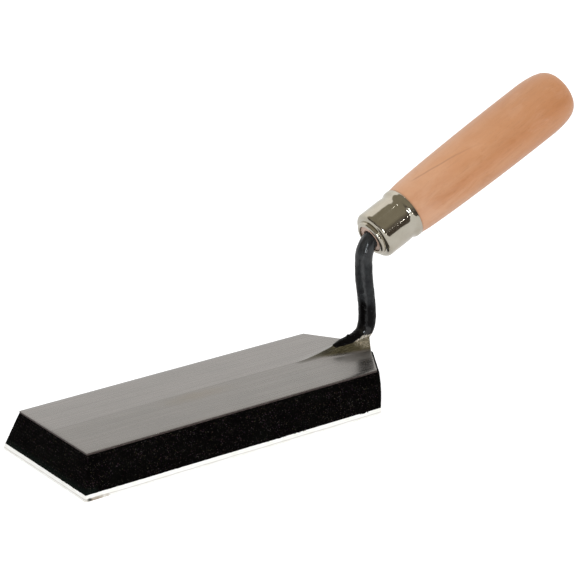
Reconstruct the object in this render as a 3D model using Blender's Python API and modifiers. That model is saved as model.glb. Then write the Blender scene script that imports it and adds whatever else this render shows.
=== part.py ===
"""Margin float: a small rubber pointing float for masonry joints.

A ground steel plate with a pointed rear carries a sponge-rubber pad and a thin rubber working
face. A painted steel shank is brazed to the ridge of the plate and driven into a turned wooden
handle with a metal ferrule.

The origin is the centre of the working face. +X runs from the front edge to the handle, +Z is up.
Lengths below are in millimetres until they are multiplied by MM.
"""

import math

import bmesh
import bpy
from mathutils import Matrix, Vector

MM = 0.001

# Steel plate. Stations along the tool are measured from its front edge.
PLATE_WIDTH = 50.8
PLATE_SHOULDER = 134.7
SHOULDER_SLOPE = 1.722
TIP_HALF_WIDTH = 1.2
EDGE_THICKNESS = 1.0
CROWN = 0.4

# Ridge ground into the rear of the plate.
RIDGE_APEX = 111.5
RIDGE_BEND = 131.5
RIDGE_BEND_HEIGHT = 2.9
RIDGE_END = 150.0
RIDGE_END_HALF_WIDTH = 9.2
RIDGE_HOLLOW = 1.15
RIDGE_START = RIDGE_APEX + 0.6

# Rubber layers and the contact cement between them.
FACING_THICKNESS = 2.0
FOAM_THICKNESS = 12.7
CEMENT_THICKNESS = 0.2
CEMENT_CLEARANCE = 0.1
CEMENT_MARGIN = 2.0
BOND_LINE = CEMENT_THICKNESS + 2 * CEMENT_CLEARANCE
SIDE_FLARE = 0.367
FRONT_FLARE = 0.322
REAR_OVERHANG = 1.1
PAD_END = 147.0

# Heights above the working face.
FOAM_BOTTOM = FACING_THICKNESS + BOND_LINE
FOAM_TOP = FOAM_BOTTOM + FOAM_THICKNESS
PLATE_BOTTOM = FOAM_TOP + BOND_LINE
PLATE_TOP = PLATE_BOTTOM + EDGE_THICKNESS
FACE_CENTRE = (PAD_END - FRONT_FLARE * PLATE_TOP) / 2

# Shank: centre line points as (station, height above the plate edge, radius), from the toe up.
SHANK_RADIUS = 3.6
FOOT_POINTS = (
    (132.3, 2.6, 1.2),
    (135.6, 3.05, 1.95),
    (139.2, 3.1, 2.5),
    (142.9, 3.75, 2.8),
    (146.8, 5.55, 3.35),
    (148.6, 9.3, SHANK_RADIUS),
    (148.9, 14.6, SHANK_RADIUS),
    (148.4, 20.5, SHANK_RADIUS),
    (147.4, 29.5, SHANK_RADIUS),
    (147.3, 34.5, SHANK_RADIUS),
)
NECK_BEND_RADIUS = 10.0
NECK_BEND_STEPS = 4
TANG_LENGTH = 62.0
TANG_TIP_RADIUS = 2.4
FIT_GAP = 0.3
SHANK_SIDES = 20

# Handle and ferrule, turned about one axis. Distances along it start at the ferrule's mouth.
MOUTH_STATION = 151.75
MOUTH_HEIGHT = 45.51
HANDLE_RISE = math.radians(24.08)
FERRULE_LENGTH = 17.8
FERRULE_WALL = 0.8
FERRULE_RADIUS = 10.3
FERRULE_NECK_RADIUS = 10.12
FERRULE_RIM_RADIUS = 11.0
LIP_RADIUS = 2.1
CREASE_RADIUS = 7.7
MOUTH_RADIUS = 6.05
MOUTH_RISE = 1.5
HANDLE_START_RADIUS = 10.95
HANDLE_BELLY_RADIUS = 12.85
SWELL_START = 19.8
HANDLE_BELLY = 88.0
HANDLE_END = 107.6
DOME_START = 92.2
HANDLE_SWELL_POWER = 0.56
DOME_BLUNTNESS = 0.14
NOSE_CHAMFER = 0.8
WOOD_SETBACK = 1.4
BOSS_RADIUS = 5.7
BOSS_REACH = 1.0
BOSS_CHAMFER = 0.3
TURNED_STEPS = 56
DOME_STEPS = 13
BODY_STEPS = 11

# Braze fillets beside the heel of the shank, as (station, distance from the centre plane,
# height above the plate edge, bead radius).
BRAZE_POINTS = (
    (139.8, 3.2, 2.4, 0.5),
    (142.6, 4.0, 2.6, 0.9),
    (145.0, 4.4, 2.9, 1.15),
    (146.8, 4.0, 3.1, 1.0),
    (148.2, 3.1, 3.2, 0.6),
)
BRAZE_SIDES = 10

# Extra size of the blanks and cutting boxes, so that they pass right through what they cut.
CUT_MARGIN = 4.0
CUT_DEPTH = 20.0


def station_x(station):
    """World x, in metres, of a station measured from the plate's front edge."""
    return (station - FACE_CENTRE) * MM


def clear_scene():
    for obj in list(bpy.data.objects):
        bpy.data.objects.remove(obj)


def new_collection(name, hidden=False):
    collection = bpy.data.collections.new(name)
    collection.hide_render = hidden
    bpy.context.scene.collection.children.link(collection)
    return collection


def link_mesh_object(name, mesh, collection):
    obj = bpy.data.objects.new(name, mesh)
    collection.objects.link(obj)
    return obj


def material(name, colour, roughness, metallic=0.0):
    made = bpy.data.materials.new(name)
    made.use_nodes = True
    made.diffuse_color = (*colour, 1.0)
    shader = made.node_tree.nodes["Principled BSDF"]
    shader.inputs["Base Color"].default_value = (*colour, 1.0)
    shader.inputs["Roughness"].default_value = roughness
    shader.inputs["Metallic"].default_value = metallic
    return made


def finish_part(obj, mat, smooth_angle=None):
    obj.data.materials.clear()
    obj.data.materials.append(mat)
    if smooth_angle is not None:
        obj.data.shade_smooth()
        obj.data.set_sharp_from_angle(angle=math.radians(smooth_angle))


def make_cutter(obj):
    obj.hide_render = True
    obj.display_type = "WIRE"
    return obj


def boolean(obj, other, operation):
    modifier = obj.modifiers.new(f"{operation.lower()}_{other.name}", "BOOLEAN")
    modifier.operation = operation
    modifier.solver = "EXACT"
    modifier.object = other


def curve_to_mesh(curve_object, collection):
    """Replace a curve object by a closed mesh object of the same name."""
    graph = bpy.context.evaluated_depsgraph_get()
    mesh = bpy.data.meshes.new_from_object(curve_object.evaluated_get(graph))
    welded = bmesh.new()
    welded.from_mesh(mesh)
    bmesh.ops.remove_doubles(welded, verts=welded.verts, dist=1e-6)
    bmesh.ops.recalc_face_normals(welded, faces=welded.faces)
    welded.to_mesh(mesh)
    welded.free()
    name = curve_object.name
    matrix = curve_object.matrix_world.copy()
    bpy.data.objects.remove(curve_object)
    obj = link_mesh_object(name, mesh, collection)
    obj.matrix_world = matrix
    return obj


def outline_prism(name, outline, low, high, collection):
    """Flat outline of (station, half-breadth) points, extruded between two heights."""
    curve = bpy.data.curves.new(name, "CURVE")
    curve.dimensions = "2D"
    curve.fill_mode = "BOTH"
    curve.extrude = (high - low) / 2 * MM
    spline = curve.splines.new("POLY")
    spline.points.add(len(outline) - 1)
    for point, (station, breadth) in zip(spline.points, outline):
        point.co = (station_x(station), breadth * MM, 0, 1)
    spline.use_cyclic_u = True
    obj = bpy.data.objects.new(name, curve)
    collection.objects.link(obj)
    obj.location.z = (low + high) / 2 * MM
    bpy.context.view_layer.update()
    return curve_to_mesh(obj, collection)


def coffin_outline(front, half_width, overhang, end):
    """Pointed-rear outline whose shoulders stand `overhang` outside the plate's shoulders."""
    lost = 1 / SHOULDER_SLOPE
    reach = overhang * math.hypot(1, lost)
    shoulder = PLATE_SHOULDER + reach + (PLATE_WIDTH / 2 - half_width) * lost
    end_half_width = half_width - (end - shoulder) * SHOULDER_SLOPE
    near_side = [(front, half_width), (shoulder, half_width), (end, end_half_width)]
    return near_side + [(station, -breadth) for station, breadth in reversed(near_side)]


def box(name, size, collection, location=(0, 0, 0), rotation=(0, 0, 0)):
    bpy.ops.mesh.primitive_cube_add(size=1)
    obj = bpy.context.object
    obj.name = name
    obj.data.name = name
    obj.data.transform(Matrix.Diagonal((*[side * MM for side in size], 1)))
    for old in obj.users_collection:
        old.objects.unlink(obj)
    collection.objects.link(obj)
    obj.location = location
    obj.rotation_euler = rotation
    return obj


def shank_points(grow=0.0):
    """Centre line of the shank as (station, height above the working face, radius) points.

    `grow` swells the shank and lengthens both ends, which gives the space it needs.
    """
    rise = Vector((math.cos(HANDLE_RISE), math.sin(HANDLE_RISE)))
    mouth = Vector((MOUTH_STATION, MOUTH_HEIGHT))
    neck_x = FOOT_POINTS[-1][0]
    corner = mouth - rise * ((mouth.x - neck_x) / rise.x)
    turn = math.radians(90) - HANDLE_RISE
    reach = NECK_BEND_RADIUS * math.tan(turn / 2)
    centre = Vector((neck_x + NECK_BEND_RADIUS, corner.y - reach))
    points = [Vector((x, z, radius)) for x, z, radius in FOOT_POINTS]
    for step in range(NECK_BEND_STEPS + 1):
        angle = turn * step / NECK_BEND_STEPS
        x = centre.x - NECK_BEND_RADIUS * math.cos(angle)
        z = centre.y + NECK_BEND_RADIUS * math.sin(angle)
        points.append(Vector((x, z, SHANK_RADIUS)))
    bend_end = corner + rise * reach
    for share in (0.2, 0.6, 1.0):
        place = bend_end + rise * (TANG_LENGTH * share)
        radius = SHANK_RADIUS + (TANG_TIP_RADIUS - SHANK_RADIUS) * share
        points.append(Vector((place.x, place.y, radius)))
    toe_step = (points[0] - points[1]).normalized() * grow
    points[0] = points[0] + Vector((toe_step.x, toe_step.y, 0))
    points[-1] = points[-1] + Vector((rise.x, rise.y, 0)) * grow
    return [(p.x, p.y + PLATE_TOP, p.z + grow) for p in points]


def tapered_rod(name, points, collection, sides):
    """Rod of varying radius along (x, y, z, radius) points, all in metres."""
    curve = bpy.data.curves.new(name, "CURVE")
    curve.dimensions = "3D"
    curve.resolution_u = 4
    curve.bevel_depth = 1.0
    curve.bevel_resolution = sides // 2 - 2
    curve.use_fill_caps = True
    spline = curve.splines.new("BEZIER")
    spline.bezier_points.add(len(points) - 1)
    for point, (x, y, z, radius) in zip(spline.bezier_points, points):
        point.co = (x, y, z)
        point.radius = radius
        point.handle_left_type = "AUTO"
        point.handle_right_type = "AUTO"
    obj = bpy.data.objects.new(name, curve)
    collection.objects.link(obj)
    bpy.context.view_layer.update()
    return curve_to_mesh(obj, collection)


def shank_rod(name, collection, grow=0.0):
    points = [(station_x(x), 0, z * MM, radius * MM) for x, z, radius in shank_points(grow)]
    return tapered_rod(name, points, collection, SHANK_SIDES)


def turned(name, profile, axis, collection):
    """Solid turned about the handle's axis from (radius, distance from the mouth) points."""
    mesh = bpy.data.meshes.new(name)
    outline = bmesh.new()
    verts = [outline.verts.new((radius * MM, 0, along * MM)) for radius, along in profile]
    for first, second in zip(verts, verts[1:]):
        outline.edges.new((first, second))
    if profile[0][0] > 0:
        outline.edges.new((verts[-1], verts[0]))
    outline.to_mesh(mesh)
    outline.free()
    obj = link_mesh_object(name, mesh, collection)
    obj.parent = axis
    screw = obj.modifiers.new("turn", "SCREW")
    screw.axis = "Z"
    screw.steps = TURNED_STEPS
    screw.render_steps = TURNED_STEPS
    screw.use_merge_vertices = True
    screw.merge_threshold = 1e-6
    screw.use_smooth_shade = True
    return obj


def arc(centre, radius, start, end, steps):
    """Points of a circle about (radius, distance) `centre`, angles in degrees."""
    points = []
    for step in range(steps + 1):
        angle = math.radians(start + (end - start) * step / steps)
        points.append((centre[0] + radius * math.cos(angle), centre[1] + radius * math.sin(angle)))
    return points


def ridge_height(station):
    """Height of the ridge above the plate: a parabola from the apex, then its tangent."""
    rise = (min(station, RIDGE_BEND) - RIDGE_APEX) / (RIDGE_BEND - RIDGE_APEX)
    beyond = max(station - RIDGE_BEND, 0)
    slope = 2 * RIDGE_BEND_HEIGHT / (RIDGE_BEND - RIDGE_APEX)
    return RIDGE_BEND_HEIGHT * rise**2 + slope * beyond


def ridge(name, collection, grow=0.0):
    """Ridge with hollow flanks. `grow` raises and widens it, for the clearance around it."""
    length = RIDGE_END - RIDGE_APEX
    shape = bmesh.new()
    bmesh.ops.create_grid(shape, x_segments=16, y_segments=12, size=1)
    for vert in shape.verts:
        share = (vert.co.x + 1) / 2
        across = vert.co.y
        station = RIDGE_START + (RIDGE_END - RIDGE_START) * share
        half_width = RIDGE_END_HALF_WIDTH * (station - RIDGE_APEX) / length + grow
        breadth = across * half_width
        roof = CROWN * (1 - abs(breadth) / (PLATE_WIDTH / 2))
        height = ridge_height(station) * (1 - abs(across)) ** RIDGE_HOLLOW + grow
        vert.co = (station_x(station), breadth * MM, (PLATE_TOP + roof + height) * MM)
    underside = bmesh.ops.extrude_face_region(shape, geom=shape.faces[:])
    for item in underside["geom"]:
        if isinstance(item, bmesh.types.BMVert):
            item.co.z = (PLATE_TOP - EDGE_THICKNESS / 2) * MM
    bmesh.ops.recalc_face_normals(shape, faces=shape.faces)
    mesh = bpy.data.meshes.new(name)
    shape.to_mesh(mesh)
    shape.free()
    return make_cutter(link_mesh_object(name, mesh, collection))


def backing_plate(parts, cutters, shank_space):
    """Slab with a low roof, joined to the ridge, trimmed to the outline, with the foot's saddle."""
    end = PLATE_SHOULDER + (PLATE_WIDTH / 2 - TIP_HALF_WIDTH) / SHOULDER_SLOPE
    thickness = EDGE_THICKNESS + CROWN
    middle = (station_x(0) + station_x(end)) / 2
    plate = box(
        "backing_plate",
        (end + 2 * CUT_MARGIN, PLATE_WIDTH + 2 * CUT_MARGIN, thickness),
        parts,
        location=(middle, 0, (PLATE_BOTTOM + thickness / 2) * MM),
    )
    roof_slope = math.atan(CROWN / (PLATE_WIDTH / 2))
    for side, name in ((-1, "roof_cut_near"), (1, "roof_cut_far")):
        up = Vector((0, side * math.sin(roof_slope), math.cos(roof_slope)))
        crest = Vector((middle, 0, (PLATE_TOP + CROWN) * MM))
        cutter = box(
            name,
            (end + 4 * CUT_MARGIN, 2 * PLATE_WIDTH, CUT_MARGIN),
            cutters,
            location=crest + up * CUT_MARGIN / 2 * MM,
            rotation=(-side * roof_slope, 0, 0),
        )
        boolean(plate, make_cutter(cutter), "DIFFERENCE")
    boolean(plate, ridge("ridge_blank", cutters), "UNION")
    outline = coffin_outline(0, PLATE_WIDTH / 2, 0, end)
    ridge_top = PLATE_TOP + CROWN + ridge_height(RIDGE_END)
    low, high = PLATE_BOTTOM - CUT_MARGIN, ridge_top + CUT_MARGIN
    trim = outline_prism("plate_outline", outline, low, high, cutters)
    boolean(plate, make_cutter(trim), "INTERSECT")
    boolean(plate, shank_space, "DIFFERENCE")
    return plate


def flare_cutters(cutters):
    """Slanted boxes whose faces run down and out from the plate's front and long edges."""
    side_angle = math.atan(SIDE_FLARE)
    front_angle = math.atan(FRONT_FLARE)
    made = []
    for side, name in ((-1, "flare_near"), (1, "flare_far")):
        out = Vector((0, side * math.cos(side_angle), math.sin(side_angle)))
        edge = Vector((0, side * PLATE_WIDTH / 2, PLATE_TOP)) * MM
        size = (2 * PAD_END, CUT_DEPTH, 4 * PLATE_TOP)
        place = edge + out * CUT_DEPTH / 2 * MM
        made.append(box(name, size, cutters, place, (side * side_angle, 0, 0)))
    out = Vector((-math.cos(front_angle), 0, math.sin(front_angle)))
    edge = Vector((station_x(0), 0, PLATE_TOP * MM))
    size = (CUT_DEPTH, 2 * PLATE_WIDTH, 4 * PLATE_TOP)
    place = edge + out * CUT_DEPTH / 2 * MM
    made.append(box("flare_front", size, cutters, place, (0, front_angle, 0)))
    return [make_cutter(cutter) for cutter in made]


def rubber_layer(name, low, high, parts, cutters_made):
    """One flared layer of the pad between two heights above the working face."""
    blank_depth = PLATE_TOP + CUT_MARGIN
    front = -FRONT_FLARE * blank_depth
    half_width = PLATE_WIDTH / 2 + SIDE_FLARE * blank_depth
    outline = coffin_outline(front, half_width, REAR_OVERHANG, PAD_END)
    layer = outline_prism(name, outline, low, high, parts)
    for cutter in cutters_made:
        boolean(layer, cutter, "DIFFERENCE")
    return layer


def cement_film(name, low, parts):
    """Thin film of contact cement that stops short of the edges it joins."""
    inset = CEMENT_MARGIN
    half_width = PLATE_WIDTH / 2 - inset
    outline = coffin_outline(inset, half_width, -inset, PAD_END - inset)
    return outline_prism(name, outline, low, low + CEMENT_THICKNESS, parts)


def ferrule_profile():
    """Outer side from the collar to the rolled end and the raised mouth, then back up inside."""
    wall = FERRULE_WALL
    lip_centre = (FERRULE_RADIUS - LIP_RADIUS, LIP_RADIUS)
    outer = [
        (FERRULE_RIM_RADIUS, FERRULE_LENGTH),
        (FERRULE_RIM_RADIUS, FERRULE_LENGTH - 0.8),
        (FERRULE_RIM_RADIUS - 0.03, FERRULE_LENGTH - 1.6),
        (FERRULE_RIM_RADIUS - 0.22, FERRULE_LENGTH - 2.2),
        (FERRULE_NECK_RADIUS + 0.22, FERRULE_LENGTH - 3.0),
        (FERRULE_NECK_RADIUS, FERRULE_LENGTH - 3.9),
        (FERRULE_NECK_RADIUS + 0.04, FERRULE_LENGTH - 4.8),
        (FERRULE_RADIUS - 0.03, FERRULE_LENGTH - 6.2),
        (FERRULE_RADIUS, FERRULE_LENGTH - 8.5),
    ]
    outer += arc(lip_centre, LIP_RADIUS, 0, -90, 6)
    mouth = arc((CREASE_RADIUS - MOUTH_RISE, 0), MOUTH_RISE, 0, -90, 5)
    mouth += [
        (MOUTH_RADIUS, -MOUTH_RISE + 0.15),
        (MOUTH_RADIUS, -MOUTH_RISE + wall),
        (CREASE_RADIUS - wall, wall / 2),
        (CREASE_RADIUS, wall),
    ]
    inner_lip = arc(lip_centre, LIP_RADIUS - wall, -90, 0, 4)
    inside = [
        (FERRULE_RADIUS - wall, FERRULE_LENGTH - 8.5),
        (FERRULE_NECK_RADIUS - wall, FERRULE_LENGTH - 3.9),
        (FERRULE_RIM_RADIUS - wall, FERRULE_LENGTH - 1.6),
        (FERRULE_RIM_RADIUS - wall, FERRULE_LENGTH),
    ]
    return outer + mouth + inner_lip + inside


def handle_profile():
    """Domed end on the axis, the outside to the shoulder, then the nose and boss in the ferrule."""
    dome = [(0, HANDLE_END)]
    for step in range(1, DOME_STEPS + 1):
        angle = math.radians(90 * (step / DOME_STEPS) ** 1.5)
        along = DOME_START + (HANDLE_END - DOME_START) * math.cos(angle)
        dome.append((HANDLE_BELLY_RADIUS * math.sin(angle) ** (2 * DOME_BLUNTNESS), along))
    body = []
    shoulder = FERRULE_LENGTH + FIT_GAP
    for step in range(1, BODY_STEPS + 1):
        share = 1 - step / BODY_STEPS
        along = shoulder + (DOME_START - shoulder) * share
        reached = (along - SWELL_START) / (HANDLE_BELLY - SWELL_START)
        swell = math.sin(math.radians(90) * min(max(reached, 0), 1))
        gain = (HANDLE_BELLY_RADIUS - HANDLE_START_RADIUS) * swell**HANDLE_SWELL_POWER
        body.append((HANDLE_START_RADIUS + gain, along))
    nose_radius = FERRULE_NECK_RADIUS - FERRULE_WALL - FIT_GAP
    nose = [
        (nose_radius, shoulder),
        (nose_radius, WOOD_SETBACK + NOSE_CHAMFER),
        (nose_radius - NOSE_CHAMFER, WOOD_SETBACK),
        (BOSS_RADIUS, WOOD_SETBACK),
        (BOSS_RADIUS, BOSS_CHAMFER - BOSS_REACH),
        (BOSS_RADIUS - BOSS_CHAMFER, -BOSS_REACH),
        (0, -BOSS_REACH),
    ]
    return dome + body + nose


def braze_fillet(name, side, parts, cutters_made):
    """Bead along one side of the shank's heel, trimmed clear of the shank and the plate."""
    points = []
    for station, breadth, height, radius in BRAZE_POINTS:
        place = (station_x(station), side * breadth * MM, (PLATE_TOP + height) * MM)
        points.append((*place, radius * MM))
    bead = tapered_rod(name, points, parts, BRAZE_SIDES)
    for cutter in cutters_made:
        boolean(bead, cutter, "DIFFERENCE")
    return bead


def build():
    clear_scene()
    parts = new_collection("margin_float")
    cutters = new_collection("cutters", hidden=True)

    steel = material("ground_steel", (0.42, 0.40, 0.38), 0.34, 1.0)
    paint = material("black_paint", (0.012, 0.012, 0.014), 0.22)
    brass = material("braze_metal", (0.62, 0.42, 0.20), 0.38, 1.0)
    cement = material("contact_cement", (0.62, 0.47, 0.24), 0.55)
    sponge = material("sponge_rubber", (0.016, 0.016, 0.016), 0.92)
    gum = material("gum_rubber", (0.80, 0.78, 0.70), 0.62)
    nickel = material("nickel_plate", (0.66, 0.63, 0.56), 0.16, 1.0)
    wood = material("varnished_beech", (0.60, 0.32, 0.17), 0.38)

    shank_space = make_cutter(shank_rod("shank_space", cutters, FIT_GAP))
    ridge_space = ridge("ridge_space", cutters, FIT_GAP)

    finish_part(backing_plate(parts, cutters, shank_space), steel, 30)
    finish_part(shank_rod("shank", parts), paint, 50)
    for side, name in ((-1, "braze_fillet_near"), (1, "braze_fillet_far")):
        finish_part(braze_fillet(name, side, parts, (shank_space, ridge_space)), brass, 50)

    flares = flare_cutters(cutters)
    finish_part(rubber_layer("rubber_facing", 0, FACING_THICKNESS, parts, flares), gum)
    finish_part(rubber_layer("foam_pad", FOAM_BOTTOM, FOAM_TOP, parts, flares), sponge)
    facing_film = FACING_THICKNESS + CEMENT_CLEARANCE
    finish_part(cement_film("facing_cement", facing_film, parts), cement)
    finish_part(cement_film("plate_cement", FOAM_TOP + CEMENT_CLEARANCE, parts), cement)

    axis = bpy.data.objects.new("handle_axis", None)
    parts.objects.link(axis)
    axis.location = (station_x(MOUTH_STATION), 0, (PLATE_TOP + MOUTH_HEIGHT) * MM)
    axis.rotation_euler = (0, math.radians(90) - HANDLE_RISE, 0)
    finish_part(turned("ferrule", ferrule_profile(), axis, parts), nickel, 40)
    handle = turned("handle", handle_profile(), axis, parts)
    boolean(handle, shank_space, "DIFFERENCE")
    finish_part(handle, wood, 40)


build()
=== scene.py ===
"""Looks for the margin float: detailed pieces, procedural materials, studio and camera."""

import math

import bmesh
import bpy
import numpy as np
from mathutils import Matrix, Vector, noise


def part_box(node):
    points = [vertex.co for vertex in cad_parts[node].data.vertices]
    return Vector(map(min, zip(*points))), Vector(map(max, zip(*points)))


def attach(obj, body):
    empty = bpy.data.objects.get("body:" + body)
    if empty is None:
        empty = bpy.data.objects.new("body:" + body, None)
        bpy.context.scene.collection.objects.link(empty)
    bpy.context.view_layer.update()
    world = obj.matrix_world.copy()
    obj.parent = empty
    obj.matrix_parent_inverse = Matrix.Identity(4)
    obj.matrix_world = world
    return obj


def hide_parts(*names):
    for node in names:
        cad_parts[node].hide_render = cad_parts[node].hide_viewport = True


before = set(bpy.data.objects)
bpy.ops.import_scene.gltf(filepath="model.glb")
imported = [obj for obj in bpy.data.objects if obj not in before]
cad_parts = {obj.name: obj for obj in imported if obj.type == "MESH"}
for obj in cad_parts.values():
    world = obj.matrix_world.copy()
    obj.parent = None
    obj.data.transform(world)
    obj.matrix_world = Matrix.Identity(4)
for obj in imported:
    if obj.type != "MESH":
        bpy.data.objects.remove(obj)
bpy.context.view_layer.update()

MM = 0.001

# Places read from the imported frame.
PLATE_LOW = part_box("backing_plate")[0]
PAD_LOW, PAD_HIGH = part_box("foam_pad")
FACING_LOW, FACING_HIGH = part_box("rubber_facing")

EDGE_THICKNESS = 1.0
FRONT_X = PLATE_LOW.x
EDGE_TOP = PLATE_LOW.z + EDGE_THICKNESS * MM

# Plate, in millimetres. Stations run back from its front edge, heights up from its edge.
HALF_WIDTH = 25.4
SHOULDER = 134.7
SHOULDER_SLOPE = 1.722
PLATE_END = SHOULDER + (HALF_WIDTH - 1.2) / SHOULDER_SLOPE
CROWN = 0.4
RIDGE_APEX = 111.5
RIDGE_BEND = 131.5
RIDGE_BEND_HEIGHT = 2.9
RIDGE_END = 150.0
RIDGE_END_HALF_WIDTH = 9.2
RIDGE_HOLLOW = 1.15

# Pad and facing.
SIDE_FLARE = 0.367
FRONT_FLARE = 0.322
REAR_OVERHANG = 1.1
PAD_END = 147.0

# Shank centre line as (station, height, radius), up to the neck.
SHANK_RADIUS = 3.6
FOOT_POINTS = (
    (132.3, 2.6, 1.2), (135.6, 3.05, 1.95), (139.2, 3.1, 2.5), (142.9, 3.75, 2.8),
    (146.8, 5.55, 3.35), (148.6, 9.3, 3.6), (148.9, 14.6, 3.6), (148.4, 20.5, 3.6),
    (147.4, 29.5, 3.6), (147.3, 34.5, 3.6),
)
NECK_BEND_RADIUS = 10.0
TANG_LENGTH = 62.0
TANG_TIP_RADIUS = 2.4
# The glossy streak lies where this much of the station offset less this much of Y is about 0.
STREAK_SIDE = (0.821, 0.571)

# Handle and ferrule, turned about one axis that starts at the ferrule's mouth.
MOUTH_STATION = 151.75
MOUTH_HEIGHT = 45.51
HANDLE_RISE = math.radians(24.08)
FERRULE_LENGTH = 17.8
FERRULE_WALL = 0.8
FERRULE_RADIUS = 10.3
FERRULE_NECK_RADIUS = 10.12
FERRULE_RIM_RADIUS = 11.0
LIP_RADIUS = 2.1
CREASE_RADIUS = 7.7
MOUTH_RADIUS = 6.05
MOUTH_RISE = 1.5
HANDLE_START_RADIUS = 10.95
HANDLE_BELLY_RADIUS = 12.85
SWELL_START = 19.8
HANDLE_BELLY = 88.0
HANDLE_END = 107.6
DOME_START = 92.2
SWELL_POWER = 0.56
DOME_BLUNTNESS = 0.14
WOOD_SETBACK = 1.4
BOSS_RADIUS = 5.95
BOSS_REACH = 1.0
GRAIN_START = 27.0
GRAIN_LINE = 2.4
GRAIN_SLANT = 0.185

# Fillets of braze metal, as stations.
BRAZE_START, BRAZE_END = 137.6, 148.2

# Films of cement: how far inside the plate's outline they end, and the upper film's heights.
FILM_MARGIN = 0.6
PLATE_FILM = (-1.09, -1.01)

# Camera: azimuth, elevation and roll in degrees, target in the plate's own frame, distance in metres.
CAMERA_ANGLES = (-34.838, 20.285, -1.008)
CAMERA_TARGET = (109.744, 0, 33.141)
CAMERA_DISTANCE = 1.0
CAMERA_LENS = 157.34
CAMERA_SENSOR = 36

# Studio, in metres and watts. A lamp has an azimuth, an elevation, a size, a radiance and a colour.
FLOOR_REACH = 4
FLOOR_HEIGHT = -0.0001
STUDIO_MIDDLE = (0.05, 0, 0.04)
ROOM_DIRECTION = tuple(Vector((0.571, 0.821, 0)) * -0.934 + Vector((0, 0, 0.358)))
SOFTBOXES = (("key_softbox", (-0.7, -1.3, 1.1), 1.2), ("fill_softbox", (1.3, -1.0, 0.8), 1.5))
LAMP_DISTANCE = 1.5
LAMPS = (
    ("window_low", -67, 19, (0.035, 0.035), 30, (1, 1, 1)),
    ("overhead", -47, 83, (0.04, 0.04), 30, (1, 1, 1)),
    ("camera_side", -120, 15, (0.20, 0.44), 14, (0.88, 0.95, 1.0)),
    ("low_window", -103, 4, (0.12, 0.10), 14, (1, 1, 1)),
)


def place(station, breadth, height):
    """World position, in metres, of a point of the plate's own frame, in millimetres."""
    return (FRONT_X + station * MM, breadth * MM, EDGE_TOP + height * MM)


def smooth_step(value, low, high):
    share = np.clip((value - low) / (high - low), 0, 1)
    return share * share * (3 - 2 * share)


# ---------------- mesh helpers


def mesh_object(name, points, faces, smooth_angle=None):
    mesh = bpy.data.meshes.new(name)
    mesh.from_pydata([tuple(map(float, p)) for p in points], [], [tuple(map(int, f)) for f in faces])
    mesh.validate()
    shape = bmesh.new()
    shape.from_mesh(mesh)
    if all(edge.is_manifold for edge in shape.edges):
        bmesh.ops.recalc_face_normals(shape, faces=shape.faces)
    shape.to_mesh(mesh)
    shape.free()
    mesh.update()
    obj = bpy.data.objects.new(name, mesh)
    bpy.context.scene.collection.objects.link(obj)
    mesh.shade_smooth()
    if smooth_angle is not None:
        mesh.set_sharp_from_angle(angle=math.radians(smooth_angle))
    return obj


def grid_faces(rows, columns, wrap_columns=False, start=0, flip=False):
    faces = []
    for row in range(rows - 1):
        for column in range(columns if wrap_columns else columns - 1):
            this, below = start + row * columns, start + (row + 1) * columns
            right = (column + 1) % columns
            quad = (this + column, this + right, below + right, below + column)
            faces.append(quad[::-1] if flip else quad)
    return faces


def turned(name, profile, closed, steps, shape=None, smooth_angle=None):
    """Body turned about Z from (radius, along) points in millimetres; radius 0 makes a pole."""
    points, rings = [], []
    for radius, along in profile:
        if radius <= 0:
            rings.append([len(points)] * steps)
            points.append((0, 0, along * MM))
            continue
        ring = []
        for step in range(steps):
            angle = 2 * math.pi * step / steps
            r = radius + (shape(radius, along, angle) if shape else 0)
            ring.append(len(points))
            points.append((r * MM * math.cos(angle), r * MM * math.sin(angle), along * MM))
        rings.append(ring)
    faces = []
    pairs = list(zip(rings, rings[1:] + rings[:1])) if closed else list(zip(rings, rings[1:]))
    for low, high in pairs:
        for step in range(steps):
            after = (step + 1) % steps
            corners = [low[step], low[after], high[after], high[step]]
            corners = [c for i, c in enumerate(corners) if c not in corners[:i]]
            if len(corners) > 2:
                faces.append(corners)
    return mesh_object(name, points, faces, smooth_angle)


def arc(centre, radius, start, end, steps):
    angles = np.radians(np.linspace(start, end, steps + 1))
    return [(centre[0] + radius * math.cos(a), centre[1] + radius * math.sin(a)) for a in angles]


def finish_piece(obj, material, replaced=()):
    obj.data.materials.clear()
    obj.data.materials.append(material)
    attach(obj, "root")
    if replaced:
        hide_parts(*replaced)
    return obj


# ---------------- material helpers


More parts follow.
